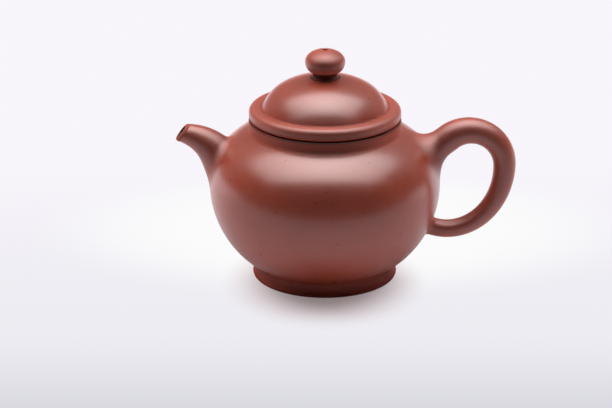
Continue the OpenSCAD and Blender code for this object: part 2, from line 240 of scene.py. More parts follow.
@dataclass(frozen=True)
class ClayFinish:
    """The red clay, as one way of working it leaves it.

    Sizes and depths are millimetres. Shares, covers and tones run from 0 to 1.
    """

    finish: Finish
    # Colours of the clay, of its specks and of its rubbed edges
    body: Colour = (0.300, 0.048, 0.024)
    warm: Colour = (0.350, 0.060, 0.031)
    iron: Colour = (0.105, 0.021, 0.012)
    sand: Colour = (0.43, 0.14, 0.08)
    rubbed: Colour = (0.40, 0.085, 0.048)
    # Clouds and mottle, and the tones between which they turn the clay warm
    cloud_size: float = 30.0
    cloud_share: float = 0.6
    mottle_size: float = 3.2
    mottle_layers: float = 4.0
    body_tone: float = 0.3
    warm_tone: float = 0.7
    # Specks: width of the cells that may hold one, radius as a share of that, and soft edges
    speck_size: float = 1.1
    speck_r: float = 0.28
    speck_core: float = 0.6
    draw_core: float = 0.8
    # Iron and sand: shares of the cells, covers, and the iron's depth in grain depths
    iron_share: float = 0.03
    iron_cover: float = 0.4
    iron_pit: float = 2.0
    sand_share: float = 0.08
    sand_cover: float = 0.5
    # Cover of the rubbed colour on edges
    rubbed_cover: float = 0.6
    # Sheen, and its changes where the clay is uneven, rubbed or out of the stone's reach
    roughness: float = 0.29
    roughness_spread: float = 0.05
    polish: float = 0.8
    dulling: float = 0.30
    gloss: float = 1.0
    # Relief of the grain and of the burnishing marks
    grain_size: float = 0.45
    grain_depth: float = 0.010
    mark_size: float = 1.6
    mark_stretch: float = 9.0
    mark_depth: float = 0.008
    relief_layers: float = 3.0

    def material(self) -> bpy.types.Material:
        """Makes the material.

        Returns:
            A material whose colour, roughness and relief come from its nodes.
        """
        made = bpy.data.materials.new(self.finish.value)
        made.use_nodes = True
        graph = Graph(made.node_tree)
        place = graph.node("ShaderNodeTexCoord").output("Object")
        wear = graph.attribute("wear")
        dull = graph.attribute("dull")
        cloud = graph.noise(place, self.cloud_size)
        mottle = graph.noise(place, self.mottle_size, self.mottle_layers)
        marks = self._marks(graph, place)
        iron, sand = self._specks(graph, place)
        tone = self.cloud_share * cloud + (1 - self.cloud_share) * mottle
        colour = graph.mix(tone.rises(self.body_tone, self.warm_tone), self.body, self.warm)
        colour = graph.mix(self.iron_cover * iron, colour, self.iron)
        colour = graph.mix(self.sand_cover * sand, colour, self.sand)
        colour = graph.mix(self.rubbed_cover * wear, colour, self.rubbed)
        uneven = mottle + marks - 2 * NOISE_MIDDLE - self.polish * wear
        roughness = self.roughness + self.roughness_spread * uneven + self.dulling * dull
        grain = graph.noise(place, self.grain_size, self.relief_layers)
        height = self.grain_depth * MM * (grain - self.iron_pit * iron) + self.mark_depth * MM * marks
        relief = graph.node("ShaderNodeBump", None, {"Strength": 1.0, "Distance": 1.0, "Height": height})
        sockets = {
            "Base Color": colour,
            "Roughness": roughness,
            "Normal": relief,
            "Specular IOR Level": self.gloss,
        }
        shader = graph.node("ShaderNodeBsdfPrincipled", None, sockets)
        graph.node("ShaderNodeOutputMaterial", None, {"Surface": shader})
        return made

    def _marks(self, graph: Graph, place: Value) -> Value:
        """Long level marks of the burnishing stone."""
        level = graph.stretched(place, (1, 1, self.mark_stretch))
        return graph.noise(level, self.mark_size * self.mark_stretch, self.relief_layers)

    def _specks(self, graph: Graph, place: Value) -> tuple[Value, Value]:
        """Scatters specks of iron and sand, which a random draw picks from small cells.

        Args:
            graph: The material's nodes.
            place: Position in metres.

        Returns:
            Where the iron is and where the sand is, from 0 to 1.
        """
        sockets = {"Vector": place, "Scale": 1 / (self.speck_size * MM)}
        cells = graph.node("ShaderNodeTexVoronoi", None, sockets, "Distance")
        draw = graph.node("ShaderNodeSeparateColor", None, {"Color": cells.output("Color")}, "Red")
        speck = cells.rises(self.speck_r, self.speck_core * self.speck_r)
        iron = draw.rises(self.iron_share, self.draw_core * self.iron_share)
        sand = draw.rises(1 - self.sand_share, 1 - self.draw_core * self.sand_share)
        return speck * iron, speck * sand


FINISHES: Mapping[Finish, ClayFinish] = {
    Finish.BURNISHED: ClayFinish(Finish.BURNISHED),
    Finish.HANDLED: ClayFinish(Finish.HANDLED, roughness=0.43, gloss=0.85),
    Finish.TOOLED: ClayFinish(
        Finish.TOOLED, roughness=0.62, gloss=0.4, grain_depth=0.02, mark_depth=0.015,
        rubbed=(0.27, 0.048, 0.026),
    ),
    Finish.SCRAPED: ClayFinish(
        Finish.SCRAPED, roughness=0.58, grain_depth=0.03, mark_depth=0.05, sand_share=0.2, iron_share=0.16
    ),
    Finish.STANDING: ClayFinish(
        Finish.STANDING, roughness=0.66, grain_depth=0.04, mark_depth=0.02, sand_share=0.3,
        rubbed=(0.24, 0.045, 0.025),
    ),
    # Painted shade: the clay at about a third of its colour, dull, for stretches that lie in shade
    Finish.STAINED: ClayFinish(
        Finish.STAINED, body=(0.10, 0.018, 0.010), warm=(0.13, 0.024, 0.013), roughness=0.62, gloss=0.3,
        rubbed=(0.16, 0.030, 0.017),
    ),
    Finish.LUTED: ClayFinish(Finish.LUTED, roughness=0.7),
}
MATERIALS: dict[Finish, bpy.types.Material] = {}


def clay(finish: Finish) -> bpy.types.Material:
    """Gives a finish's material, which is made once.

    Args:
        finish: The finish.

    Returns:
        Its material.
    """
    if finish not in MATERIALS:
        MATERIALS[finish] = FINISHES[finish].material()
    return MATERIALS[finish]


def graded(steps: int) -> list[float]:
    """Shares from 0 to 1 that crowd at both ends, so that a run's end faces have its true slope."""
    return [(1 - math.cos(math.pi * i / steps)) / 2 for i in range(steps + 1)]


def mix(first: Any, second: Any, share: Number) -> Any:
    """Goes a share of the way from one number or vector to another."""
    return first + (second - first) * share


def straight(start: Point2, end: Point2) -> Curve:
    """Straight run between two points of a half section."""
    return lambda u: (mix(start[0], end[0], u), mix(start[1], end[1], u))


def oval(middle: Point2, size: Point2, start: float, end: float) -> Curve:
    """Run of an oval in a half section.

    Args:
        middle: Middle of the oval.
        size: Its half width and half height.
        start: Angle above the level where the run starts.
        end: Angle where it ends.

    Returns:
        The run as a function of a share from 0 to 1.
    """

    def at(u: float) -> Point2:
        """Point at a share of the run."""
        a = math.radians(mix(start, end, u))
        return middle[0] + size[0] * math.cos(a), middle[1] + size[1] * math.sin(a)

    return at


def bow(start: Point2, pull: Point2, end: Point2) -> Curve:
    """Run between two points that leaves and arrives along the lines to a third.

    Args:
        start: Where it starts.
        pull: Point that both ends aim at.
        end: Where it ends.

    Returns:
        The run as a function of a share from 0 to 1.
    """

    def at(u: float) -> Point2:
        """Point at a share of the run."""
        return tuple(mix(mix(a, b, u), mix(b, c, u), u) for a, b, c in zip(start, pull, end))

    return at


class Section:
    """Closed half section of a turned piece, with the finish of each stretch."""

    def __init__(self, start: Point2) -> None:
        """Starts at one corner.

        Args:
            start: The corner.
        """
        self.end = start
        self.points: list[Point2] = []
        self.finishes: list[Finish] = []

    def run(self, curve: Curve, finish: Finish = Finish.BURNISHED, steps: int = RUN_STEPS) -> None:
        """Adds a run, which starts where the last one ended.

        Args:
            curve: The run as a function of a share from 0 to 1.
            finish: How its surface was worked.
            steps: Number of faces along it.
        """
        for u in graded(steps)[:-1]:
            self.points.append(curve(u))
            self.finishes.append(finish)
        self.end = curve(1.0)

    def lines(self, finish: Finish, *corners: Point2, steps: int = RUN_STEPS) -> None:
        """Goes on in straight runs from corner to corner, with the same finish and number of faces."""
        for corner in corners:
            self.run(straight(self.end, corner), finish, steps)


class Skin:
    """Points and faces of a piece while it is built, with the finish of each face."""

    def __init__(self) -> None:
        """Starts with nothing."""
        self.points: list[Vector] = []
        self.faces: list[tuple[int, ...]] = []
        self.finishes: list[Finish] = []
        self.dull: list[float] = []

    def ring(self, points: Sequence[Vector], dull: float = 0.0) -> list[int]:
        """Adds points and gives their numbers.

        Args:
            points: The points.
            dull: How little a burnishing stone reached them, from 0 to 1.

        Returns:
            Their numbers.
        """
        first = len(self.points)
        self.points.extend(points)
        self.dull.extend([dull] * len(points))
        return list(range(first, len(self.points)))

    def bridge(self, low: list[int], high: list[int], finish: Finish) -> None:
        """Adds the faces between two rings, either of which may be a single point.

        Args:
            low: Numbers of the first ring's points.
            high: Numbers of the second ring's points.
            finish: Finish of the faces.
        """
        count = max(len(low), len(high))
        for j in range(count):
            k = (j + 1) % count
            corners = [low[j % len(low)], low[k % len(low)], high[k % len(high)], high[j % len(high)]]
            self.faces.append(tuple(dict.fromkeys(corners)))
            self.finishes.append(finish)

    def loft(self, rings: Sequence[list[int]], finishes: Sequence[Finish]) -> None:
        """Bridges each ring to the next, with one finish for each gap."""
        for low, high, finish in zip(rings, rings[1:], finishes):
            self.bridge(low, high, finish)

    @classmethod
    def turned(cls, section: Section) -> "Skin":
        """Carries a half section round the Z axis.

        Args:
            section: The half section, closed from its last point to its first.

        Returns:
            The closed skin.
        """
        made = cls()
        rings = []
        for r, z in section.points:
            around = [2 * math.pi * j / TURNS for j in range(TURNS if r > TINY else 1)]
            rings.append(made.ring([Vector((r * math.cos(a), r * math.sin(a), z)) for a in around]))
        made.loft([*rings, rings[0]], section.finishes)
        made.drop_axis_faces()
        return made

    def drop_axis_faces(self) -> None:
        """Leaves out faces with fewer than three corners, which a stretch along the axis gives."""
        kept = [i for i, face in enumerate(self.faces) if len(face) > 2]
        self.faces = [self.faces[i] for i in kept]
        self.finishes = [self.finishes[i] for i in kept]

    def mesh(self, name: str) -> bpy.types.Mesh:
        """Makes the mesh, smooth apart from its crisp edges.

        Args:
            name: Name of the mesh.

        Returns:
            The mesh in metres, with its materials set face by face.
        """
        made = bpy.data.meshes.new(name)
        made.from_pydata([tuple(p * MM) for p in self.points], [], self.faces)
        worked = list(dict.fromkeys(self.finishes))
        for finish in worked:
            made.materials.append(clay(finish))
        made.polygons.foreach_set("material_index", [worked.index(f) for f in self.finishes])
        shape = bmesh.new()
        shape.from_mesh(made)
        bmesh.ops.recalc_face_normals(shape, faces=shape.faces)
        shape.to_mesh(made)
        shape.free()
        made.attributes.new("dull", "FLOAT", "POINT").data.foreach_set("value", self.dull)
        smooth(made)
        return made


def smooth(mesh: bpy.types.Mesh) -> None:
    """Shades a mesh smooth between its crisp edges."""
    mesh.shade_smooth()
    mesh.set_sharp_from_angle(angle=math.radians(CRISP_ANGLE))


def cut(mesh: bpy.types.Mesh, tool: bpy.types.Mesh) -> bpy.types.Mesh:
    """Cuts one closed mesh out of another.

    Args:
        mesh: The mesh that is cut.
        tool: The mesh that is taken out of it.

    Returns:
        What is left, as a new mesh.
    """
    scene = bpy.context.scene
    stock = bpy.data.objects.new("stock", mesh)
    cutter = bpy.data.objects.new("cutter", tool)
    for made in (stock, cutter):
        scene.collection.objects.link(made)
    step = stock.modifiers.new("hole", "BOOLEAN")
    step.operation = "DIFFERENCE"
    step.solver = "EXACT"
    step.material_mode = "TRANSFER"
    step.object = cutter
    left = bpy.data.meshes.new_from_object(stock.evaluated_get(bpy.context.evaluated_depsgraph_get()))
    for made in (stock, cutter):
        bpy.data.objects.remove(made)
    smooth(left)
    return left


def mark_wear(mesh: bpy.types.Mesh, slight: float = 0.25, full: float = 1.2) -> None:
    """Marks how sharply each point stands out, for the rubbed look of edges.

    A point that is luted to another piece isn't rubbed.

    Args:
        mesh: The mesh, in metres.
        slight: Curvature, per millimetre, where the rubbing starts.
        full: Curvature where it is complete.
    """
    sharpest = [0.0] * len(mesh.vertices)
    for edge in mesh.edges:
        for here, there in (edge.vertices, reversed(edge.vertices)):
            step = mesh.vertices[here].co - mesh.vertices[there].co
            bend = 2 * MM * mesh.vertices[here].normal.dot(step) / max(step.length_squared, TINY**2)
            sharpest[here] = max(sharpest[here], bend)
    for face in mesh.polygons:
        if mesh.materials[face.material_index] == clay(Finish.LUTED):
            for corner in face.vertices:
                sharpest[corner] = 0.0
    worn = [min(1.0, max(0.0, (bend - slight) / (full - slight))) for bend in sharpest]
    mesh.attributes.new("wear", "FLOAT", "POINT").data.foreach_set("value", worn)


@dataclass(frozen=True)
class Piece:
    """What a piece of the scene stands for."""

    node: str
    body: Body
    slot: Slot

    def place(self, mesh: bpy.types.Mesh) -> bpy.types.Object:
        """Puts a finished mesh in the scene in place of its node.

        Args:
            mesh: The mesh, in the frame's place.

        Returns:
            The object, which rides on its body.
        """
        mark_wear(mesh)
        made = bpy.data.objects.new(f"{self.node}_clay", mesh)
        bpy.context.scene.collection.objects.link(made)
        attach(made, self.body.value)
        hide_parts(self.node)
        LOG.info("%s: %d faces, rides on %s", made.name, len(mesh.polygons), self.body.value)
        return made

    def turn(self, section: Section) -> bpy.types.Object:
        """Turns a half section and puts it in the scene."""
        return self.place(Skin.turned(section).mesh(self.node))


@dataclass(frozen=True)
class Extent:
    """Lowest and highest corner of a node at rest."""

    low: Vector
    high: Vector

    @classmethod
    def of(cls, node: str) -> "Extent":
        """Reads a node's corners from the frame."""
        low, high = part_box(node)
        return cls(low / MM, high / MM)


@dataclass
class BellyShape:
    """The curves of the pot's wall, which everything luted to it follows."""

    # Radius where the belly stands on its foot
    waist_r: float = 29.9
    # Radii at which the middles of its lower and its upper oval stand
    lower_core: float = 8.0
    upper_core: float = 21.0
    # Thickness of the wall and of the mouth's edge, and radius of the mouth
    wall_t: float = 3.0
    mouth_t: float = 2.5
    mouth_r: float = 27.0

    def __post_init__(self) -> None:
        """Reads the levels and radii that the frame has, and works out the rest."""
        self.foot_z = Extent.of("base_slab").low.z
        self.floor_z = Extent.of("base_slab").high.z
        self.belly_z = Extent.of("lower_wall").high.z
        self.belly_r = Extent.of("lower_wall").high.x
        self.seam_z = Extent.of("shoulder_slab").low.z
        self.seat_z = Extent.of("neck_ring").low.z
        self.seat_r = Extent.of("neck_ring").high.x
        self.rim_z = Extent.of("neck_ring").high.z
        self.inside_r = self.belly_r - self.wall_t
        shoulder_rise = self.seat_z - self.belly_z
        belly_rise = self.belly_z - self.foot_z
        self.lower_b = self._half_height(belly_rise, self.waist_r, self.lower_core, self.belly_r)
        self.upper_b = self._half_height(shoulder_rise, self.seat_r, self.upper_core, self.belly_r)
        self.lower_in_b = self.lower_b - self.wall_t
        self.upper_in_b = self._half_height(
            shoulder_rise - self.mouth_t, self.mouth_r, self.upper_core, self.inside_r
        )

    @staticmethod
    def _half_height(rise: float, r: float, core: float, widest: float) -> float:
        """Half height of the oval that reaches one radius at a rise from its widest level."""
        return rise / math.sqrt(1 - ((r - core) / (widest - core)) ** 2)

    def outside(self, start_z: float, end_z: float) -> Curve:
        """Run of the outside between two heights on the same side of the widest level."""
        return self._swell(self.belly_r, (self.lower_b, self.upper_b), start_z, end_z)

    def inside(self, start_z: float, end_z: float) -> Curve:
        """Run of the inside between two heights on the same side of the widest level."""
        return self._swell(self.inside_r, (self.lower_in_b, self.upper_in_b), start_z, end_z)

    def _swell(self, r: float, half_heights: Point2, start_z: float, end_z: float) -> Curve:
        """Run of the lower or the upper oval of one side of the wall.

        Args:
            r: Radius at the widest level.
            half_heights: Half height of the lower oval and of the upper one.
            start_z: Height where it starts.
            end_z: Height where it ends.

        Returns:
            The run as a function of a share from 0 to 1.
        """
        lower_b, upper_b = half_heights
        is_lower = min(start_z, end_z) < self.belly_z - TINY
        core, b = (self.lower_core, lower_b) if is_lower else (self.upper_core, upper_b)
        angles = [math.degrees(math.asin((z - self.belly_z) / b)) for z in (start_z, end_z)]
        return oval((core, self.belly_z), (r - core, b), *angles)

    def outer_r(self, z: float) -> float:
        """Outside radius at a height."""
        core, b = (self.lower_core, self.lower_b) if z < self.belly_z else (self.upper_core, self.upper_b)
        return core + (self.belly_r - core) * math.sqrt(max(0.0, 1 - ((z - self.belly_z) / b) ** 2))

    def above(self, point: Vector) -> float:
        """How far a point stands out from the wall, measured level."""
        return point.xy.length - self.outer_r(point.z)

    def normal(self, point: Vector) -> Vector:
        """Outward normal of the wall.

        Args:
            point: A point on the wall.

        Returns:
            The normal there.
        """
        widening = self.outer_r(point.z + STATION_STEP) - self.outer_r(point.z - STATION_STEP)
        slope = widening / (2 * STATION_STEP)
        out = point.xy.normalized()
        return Vector((out.x, out.y, -slope)).normalized()

    def settle(self, point: Vector) -> Vector:
        """Brings a point down onto the wall.

        Args:
            point: A point near the wall.

        Returns:
            The point on the wall that is next to it.
        """
        for _ in range(SETTLE_STEPS):
            normal = self.normal(point)
            point = point - normal * self.above(point) * normal.xy.length
        return point


@dataclass
class PotBody:
    """Foot, floor, wall, shoulder and neck of the pot."""

    belly: BellyShape
    pour_hole: Skin
    # Width of the foot, height of its outer edge and rounding of its inner edge
    foot_w: float = 4.6
    foot_edge: float = 1.2
    foot_soft: float = 0.6
    # Neck, with the cove at its foot, the height that the cove aims at and the rounding of the edges
    neck_r: float = 32.9
    neck_cove: float = 2.4
    cove_lift: float = 0.45
    edge_round: float = 0.6
    # Slit under the lid, where the neck's top falls away outward
    slit_w: float = 2.6
    slit_drop: float = 0.5

    def __post_init__(self) -> None:
        """Works out the foot's radii."""
        self.foot_r = Extent.of("foot_ring").high.x
        self.recess_r = self.foot_r - self.foot_w

    def build(self) -> None:
        """Builds the six turned pieces."""
        self.foot_ring()
        self.base_slab()
        self.lower_wall()
        self.upper_wall()
        self.shoulder_slab()
        self.neck_ring()

    def foot_ring(self) -> None:
        """Low ring that the pot stands on."""
        top_z = self.belly.foot_z
        waist_r = self.belly.waist_r
        soft = self.foot_soft
        edge = self.foot_edge
        edge_r = self.foot_r - edge / 2
        section = Section((self.recess_r, top_z))
        section.lines(Finish.STANDING, (self.recess_r, soft))
        section.run(oval((self.recess_r + soft, soft), (soft, soft), 180, 270), Finish.STANDING)
        section.lines(Finish.STANDING, (edge_r, 0))
        section.run(oval((edge_r, edge), (edge / 2, edge), -90, 0), Finish.TOOLED)
        section.run(bow((self.foot_r, edge), (waist_r, edge), (waist_r, top_z)), Finish.TOOLED)
        section.lines(Finish.LUTED, (self.recess_r, top_z))
        Piece("foot_ring", Body.POT, Slot.POT).turn(section)

    def base_slab(self) -> None:
        """Round slab of clay that the wall stands on."""
        belly = self.belly
        low_in = belly.inside(belly.floor_z, belly.belly_z)(0)
        section = Section((0, belly.foot_z))
        section.lines(Finish.STANDING, (self.recess_r, belly.foot_z))
        section.lines(Finish.LUTED, (belly.waist_r, belly.foot_z))
        section.run(belly.outside(belly.foot_z, belly.floor_z))
        section.lines(Finish.LUTED, low_in)
        section.lines(Finish.SCRAPED, (0, belly.floor_z))
        section.lines(Finish.LUTED, (0, belly.foot_z), steps=1)
        Piece("base_slab", Body.POT, Slot.POT).turn(section)

    def lower_wall(self) -> None:
        """Wall of the belly from the floor up to its widest level."""
        belly = self.belly
        section = Section(belly.inside(belly.floor_z, belly.belly_z)(0))
        section.lines(Finish.LUTED, (belly.outer_r(belly.floor_z), belly.floor_z))
        section.run(belly.outside(belly.floor_z, belly.belly_z), steps=3 * RUN_STEPS)
        section.lines(Finish.LUTED, (belly.inside_r, belly.belly_z))
        section.run(belly.inside(belly.belly_z, belly.floor_z), Finish.SCRAPED, 2 * RUN_STEPS)
        Piece("lower_wall", Body.POT, Slot.POT).turn(section)

    def upper_wall(self) -> None:
        """Wall of the belly from its widest level up to the shoulder, with the pour hole through it."""
        belly = self.belly
        section = Section((belly.inside_r, belly.belly_z))
        section.lines(Finish.LUTED, (belly.belly_r, belly.belly_z))
        section.run(belly.outside(belly.belly_z, belly.seam_z), steps=3 * RUN_STEPS)
        section.lines(Finish.LUTED, belly.inside(belly.belly_z, belly.seam_z)(1))
        section.run(belly.inside(belly.seam_z, belly.belly_z), Finish.SCRAPED, 2 * RUN_STEPS)
        whole = Skin.turned(section).mesh("upper_wall")
        Piece("upper_wall", Body.POT, Slot.POT).place(cut(whole, self.pour_hole.mesh("pour_hole")))

    def shoulder_slab(self) -> None:
        """Shoulder that closes the wall in to the mouth."""
        belly = self.belly
        mouth_z = belly.seat_z - belly.mouth_t
        section = Section(belly.inside(belly.seam_z, mouth_z)(0))
        section.lines(Finish.LUTED, (belly.outer_r(belly.seam_z), belly.seam_z))
        section.run(belly.outside(belly.seam_z, belly.seat_z))
        section.lines(Finish.LUTED, (belly.mouth_r, belly.seat_z))
        section.lines(Finish.SCRAPED, (belly.mouth_r, mouth_z))
        section.run(belly.inside(mouth_z, belly.seam_z), Finish.SCRAPED)
        Piece("shoulder_slab", Body.POT, Slot.POT).turn(section)

    def neck_ring(self) -> None:
        """Upright ring round the mouth, which the lid sits on."""
        seat_z = self.belly.seat_z
        rim_z = self.belly.rim_z
        mouth_r = self.belly.mouth_r
        neck_r = self.neck_r
        edge = self.edge_round
        edge_z = rim_z - self.slit_drop
        cove_top = (neck_r, seat_z + self.neck_cove)
        section = Section((mouth_r, seat_z))
        section.lines(Finish.LUTED, (self.belly.seat_r, seat_z))
        section.run(bow(section.end, (neck_r, seat_z + self.cove_lift), cove_top), Finish.TOOLED)
        section.lines(Finish.TOOLED, (neck_r, edge_z - edge))
        # The neck's top edge and the slit under the lid are darkened with painted shade
        section.run(oval((neck_r - edge, edge_z - edge), (edge, edge), 0, 90), Finish.STAINED)
        section.lines(Finish.STAINED, (neck_r - edge - self.slit_w, rim_z))
        section.lines(Finish.TOOLED, (mouth_r + edge, rim_z))
        section.run(oval((mouth_r + edge, rim_z - edge), (edge, edge), 90, 180), Finish.TOOLED)
        section.lines(Finish.SCRAPED, (mouth_r, seat_z))
        Piece("neck_ring", Body.POT, Slot.POT).turn(section)


# Point of a limb's side, with the finish of the stretch after it
Worked = tuple[Vector, Finish]


@dataclass
class LutedLimb:
    """A round limb that is luted to the belly and runs out over it in a skirt."""

    belly: BellyShape
    # Faces round the limb and along a skirt
    sides: int = 72
    skirt_steps: int = 20
    # How little a burnishing stone reached the limb, from 0 to 1
    limb_dull: float = 0.35

    def line(self, s: float) -> Vector:
        """Point of the middle line at a station."""
        raise NotImplementedError

    def radius(self, s: float) -> float:
        """Radius of the limb at a station."""
        raise NotImplementedError

    def point(self, angle: float, s: float, radius: float) -> Vector:
        """Point on one side of the limb.

        Args:
            angle: Angle round the limb, in radians.
            s: Station along it.
            radius: Distance from its middle line.

        Returns:
            The point.
        """
        ahead = (self.line(s + STATION_STEP) - self.line(s - STATION_STEP)).normalized()
        across = Vector((-ahead.z, 0, ahead.x))
        return self.line(s) + radius * (math.cos(angle) * across + math.sin(angle) * Vector((0, 1, 0)))

    def surface(self, angle: float, s: float) -> Vector:
        """Point on the outside of the limb."""
        return self.point(angle, s, self.radius(s))

    def leaves(self, point: Callable[[float], Vector], buried: float, free: float) -> float:
        """Station where one side of the limb comes out of the belly.

        Args:
            point: That side, as a function of the station.
            buried: A station inside the pot.
            free: A station outside it.

        Returns:
            The station between the two.
        """
        for _ in range(SOLVE_STEPS):
            middle = (buried + free) / 2
            if self.belly.above(point(middle)) < 0:
                buried = middle
            else:
                free = middle
        return (buried + free) / 2

    def root_station(self, angle: float, buried: float, free: float) -> float:
        """Station where one side of the outside comes out of the belly."""
        return self.leaves(lambda s: self.surface(angle, s), buried, free)

    def skirt(self, angle: float, buried: float, free: float, rise: float, spread: float) -> list[Vector]:
        """One side of a skirt, which leaves the belly and meets the limb without a crease.

        Args:
            angle: Angle round the limb, in radians.
            buried: A station inside the pot.
            free: A station outside it.
            rise: Stations that the skirt climbs along the limb.
            spread: Width that it takes on the belly.

        Returns:
            Points from the belly up to the limb.
        """
        root_s = self.root_station(angle, buried, free)
        root = self.surface(angle, root_s)
        normal = self.belly.normal(root)
        across = root - self.line(root_s)
        out = (across - normal * across.dot(normal)).normalized()
        edge = self.belly.settle(root + spread * out)
        back = root - edge
        edge_normal = self.belly.normal(edge)
        inward = (back - edge_normal * back.dot(edge_normal)).normalized()
        top = self.surface(angle, root_s + rise)
        ahead = (self.surface(angle, root_s + (1 + TANGENT_SHARE) * rise) - top).normalized()
        low_pull = edge + inward * back.length * PULL_SHARE
        high_pull = top - ahead * (top - root).length * PULL_SHARE
        points = []
        for u in graded(self.skirt_steps):
            low = mix(mix(edge, low_pull, u), mix(low_pull, high_pull, u), u)
            high = mix(mix(low_pull, high_pull, u), mix(high_pull, top, u), u)
            points.append(mix(low, high, u))
        return points

    def skirt_dull(self) -> list[float]:
        """How dull each ring of a skirt is, most of all in its hollow, from the belly up to the limb."""
        return [mix(math.sin(math.pi * u) ** 2, u, self.limb_dull) for u in graded(self.skirt_steps)]

    def angles(self) -> list[float]:
        """Angles of the limb's sides, in radians."""
        return [2 * math.pi * j / self.sides for j in range(self.sides)]


@dataclass
class Spout(LutedLimb):
    """Short bent spout with a slanting mouth, bored through to the pot."""

    # Middle line: its slopes, its bend, and its end out from the belly and down from the neck's rim
    mouth_slope: float = 5.0
    root_slope: float = 50.0
    bend_r: float = 21.8
    reach: float = 12.5
    drop: float = 7.1
    # Slant of the mouth
    mouth_cut: float = 26.0
    # Outside at the mouth and at the root
    tip_r: float = 3.75
    root_r: float = 7.7
    # Lip: thickness, length, and share of the way out at which its crest stands
    lip_t: float = 1.4
    lip_l: float = 1.6
    crest_share: float = 0.2
    # Bore where it leaves the pot
    pour_r: float = 5.2
    # Skirt: width on the belly below and above the spout, and how far it climbs below
    spread: float = 9.0
    top_spread: float = 3.0
    rise: float = 7.0
    # A station inside the pot
    buried: float = -16.0
    # Faces along the outside, along each half of the lip and along the bore
    tube_steps: int = 40
    lip_steps: int = 10
    bore_steps: int = 40

    def __post_init__(self) -> None:
        """Works out the bend."""
        slope = math.radians(self.mouth_slope)
        tip = Vector((-self.belly.belly_r - self.reach, 0, self.belly.rim_z - self.drop))
        self.bend_at = tip - self.bend_r * Vector((math.sin(slope), 0, math.cos(slope)))
        self.bend_l = self.bend_r * math.radians(self.root_slope - self.mouth_slope)

    def line(self, s: float) -> Vector:
        """Middle line: straight out of the pot, then round the bend.

        Args:
            s: Station along it, which is 0 where the bend starts.

        Returns:
            The point there.
        """
        a = math.radians(self.root_slope) - max(0.0, s) / self.bend_r
        bent = self.bend_at + self.bend_r * Vector((math.sin(a), 0, math.cos(a)))
        return bent - min(0.0, s) * Vector((math.cos(a), 0, -math.sin(a)))

    def radius(self, s: float) -> float:
        """Outside radius, which tapers round the bend."""
        return mix(self.root_r, self.tip_r, max(0.0, s) / self.bend_l)

    def bore_r(self, s: float) -> float:
        """Radius of the bore."""
        return mix(self.pour_r, self.tip_r - self.lip_t, max(0.0, min(1.0, s / self.bend_l)))

    def side(self, angle: float) -> list[Worked]:
        """One side, from the skirt's edge out to the lip and back down the bore.

        Args:
            angle: Angle round the spout, in radians.

        Returns:
            Its points.
        """
        end = self.bend_l + self.tip_r * math.tan(math.radians(self.mouth_cut)) * math.cos(angle)
        lip_s = end - self.lip_l
        return [*self._outside(angle, lip_s), *self._lip(angle, lip_s), *self._bore(angle, lip_s)]

    def _outside(self, angle: float, lip_s: float) -> list[Worked]:
        """One side of the skirt and of the outside.

        Args:
            angle: Angle round the spout, in radians.
            lip_s: Station where the lip starts.

        Returns:
            Its points, from the belly to the lip.
        """
        share = mix(self.top_spread / self.spread, 1.0, (1 + math.cos(angle)) / 2)
        skirt = self.skirt(angle, self.buried, self.bend_l, share * self.rise, share * self.spread)
        tube_s = self.root_station(angle, self.buried, self.bend_l) + share * self.rise
        stations = [mix(tube_s, lip_s, i / self.tube_steps) for i in range(self.tube_steps)]
        points = [*skirt[:-1], *(self.surface(angle, s) for s in stations)]
        return [(point, Finish.BURNISHED) for point in points]

    def _lip(self, angle: float, lip_s: float) -> list[Worked]:
        """One side of the rounded lip, tooled without and darkened with painted shade within.

        Args:
            angle: Angle round the spout, in radians.
            lip_s: Station where the lip starts.

        Returns:
            Its points, over the crest and back.
        """
        outer = self.radius(lip_s)
        inner = self.bore_r(lip_s)
        crest = mix(inner, outer, self.crest_share)
        out = oval((crest, lip_s), (outer - crest, self.lip_l), 0, 90)
        back = oval((crest, lip_s), (crest - inner, self.lip_l), 90, 180)
        points = []
        for curve, finish in ((out, Finish.TOOLED), (back, Finish.STAINED)):
            for u in graded(self.lip_steps)[:-1]:
                r, s = curve(u)
                points.append((self.point(angle, s, r), finish))
        return points

    def _bore(self, angle: float, lip_s: float) -> list[Worked]:
        """One side of the bore.

        Args:
            angle: Angle round the spout, in radians.
            lip_s: Station where the lip starts.

        Returns:
            Its points, from the lip to the belly.
        """
        end_s = self.leaves(lambda s: self.point(angle, s, self.bore_r(s)), self.buried, self.bend_l)
        stations = [mix(lip_s, end_s, i / self.bore_steps) for i in range(self.bore_steps + 1)]
        # The bore is darkened with painted shade, except where it is luted to the wall
        finishes = [*[Finish.STAINED] * self.bore_steps, Finish.LUTED]
        return [(self.point(angle, s, self.bore_r(s)), finish) for s, finish in zip(stations, finishes)]

    def pour_hole(self) -> Skin:
        """Plug of clay that is cut out of the wall behind the spout.

        Returns:
            The plug's closed skin.
        """
        skin = Skin()
        rings = []
        for s in (self.buried, 0.0):
            rings.append(skin.ring([self.point(angle, s, self.pour_r) for angle in self.angles()]))
            skin.bridge(skin.ring([self.line(s)]), rings[-1], Finish.SCRAPED)
        skin.bridge(*rings, Finish.SCRAPED)
        return skin

    def build(self) -> None:
        """Builds the spout as one closed skin."""
        sides = [self.side(angle) for angle in self.angles()]
        skin = Skin()
        skirt = self.skirt_dull()
        dull = [*skirt, *[self.limb_dull] * (len(sides[0]) - len(skirt))]
        rings = [skin.ring([side[i][0] for side in sides], dull[i]) for i in range(len(dull))]
        skin.loft([*rings, rings[0]], [finish for _, finish in sides[0]])
        Piece("spout", Body.POT, Slot.POT).place(skin.mesh("spout"))


